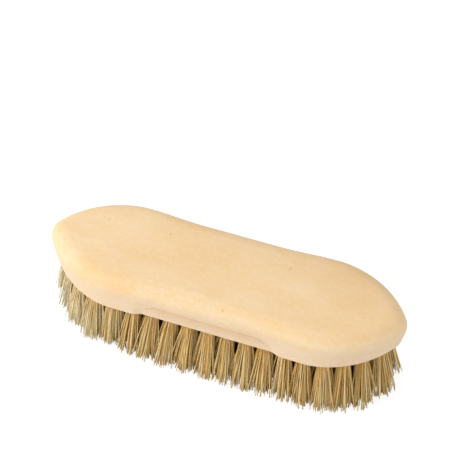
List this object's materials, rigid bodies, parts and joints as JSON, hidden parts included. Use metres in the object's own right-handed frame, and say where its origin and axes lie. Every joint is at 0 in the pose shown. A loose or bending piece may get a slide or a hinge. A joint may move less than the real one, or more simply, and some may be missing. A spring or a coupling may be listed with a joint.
{
  "type": "dandy brush",
  "caption": "Waisted wooden dandy brush: a one-piece pale stock with a rounded top edge and finger grooves, and stiff fibre tufts anchored in blind holes in its sole.",
  "frame": {"origin": "under the middle of the brush, in the plane of the trimmed bristle tips that it stands on", "axes": "+X along the brush, +Y across it away from the side seen in the picture, +Z from the bristle tips up to the stock's flat top"},
  "size_m": [0.21, 0.0713, 0.056],
  "materials": {
    "bare_wood": "sanded smooth, unvarnished",
    "stiff_fibre": "matt natural fibre"
  },
  "bodies": {
    "root": {"back_edge_tuft_01": "stiff_fibre", "back_edge_tuft_02": "stiff_fibre", "back_edge_tuft_03": "stiff_fibre", "back_edge_tuft_04": "stiff_fibre", "back_edge_tuft_05": "stiff_fibre", "back_edge_tuft_06": "stiff_fibre", "back_edge_tuft_07": "stiff_fibre", "back_edge_tuft_08": "stiff_fibre", "back_edge_tuft_09": "stiff_fibre", "back_edge_tuft_10": "stiff_fibre", "back_edge_tuft_11": "stiff_fibre", "back_edge_tuft_12": "stiff_fibre", "back_edge_tuft_13": "stiff_fibre", "back_edge_tuft_14": "stiff_fibre", "back_edge_tuft_15": "stiff_fibre", "back_edge_tuft_16": "stiff_fibre", "back_edge_tuft_17": "stiff_fibre", "back_edge_tuft_18": "stiff_fibre", "back_edge_tuft_19": "stiff_fibre", "back_row_tuft_01": "stiff_fibre", "back_row_tuft_02": "stiff_fibre", "back_row_tuft_03": "stiff_fibre", "back_row_tuft_04": "stiff_fibre", "back_row_tuft_05": "stiff_fibre", "back_row_tuft_06": "stiff_fibre", "front_edge_tuft_01": "stiff_fibre", "front_edge_tuft_02": "stiff_fibre", "front_edge_tuft_03": "stiff_fibre", "front_edge_tuft_04": "stiff_fibre", "front_edge_tuft_05": "stiff_fibre", "front_edge_tuft_06": "stiff_fibre", "front_edge_tuft_07": "stiff_fibre", "front_edge_tuft_08": "stiff_fibre", "front_edge_tuft_09": "stiff_fibre", "front_edge_tuft_10": "stiff_fibre", "front_edge_tuft_11": "stiff_fibre", "front_edge_tuft_12": "stiff_fibre", "front_edge_tuft_13": "stiff_fibre", "front_edge_tuft_14": "stiff_fibre", "front_edge_tuft_15": "stiff_fibre", "front_edge_tuft_16": "stiff_fibre", "front_edge_tuft_17": "stiff_fibre", "front_edge_tuft_18": "stiff_fibre", "front_edge_tuft_19": "stiff_fibre", "front_row_tuft_01": "stiff_fibre", "front_row_tuft_02": "stiff_fibre", "front_row_tuft_03": "stiff_fibre", "front_row_tuft_04": "stiff_fibre", "front_row_tuft_05": "stiff_fibre", "front_row_tuft_06": "stiff_fibre", "middle_row_tuft_01": "stiff_fibre", "middle_row_tuft_02": "stiff_fibre", "middle_row_tuft_03": "stiff_fibre", "middle_row_tuft_04": "stiff_fibre", "middle_row_tuft_05": "stiff_fibre", "middle_row_tuft_06": "stiff_fibre", "middle_row_tuft_07": "stiff_fibre", "middle_row_tuft_08": "stiff_fibre", "middle_row_tuft_09": "stiff_fibre", "stock": "bare_wood"}
  },
  "joints": []
}
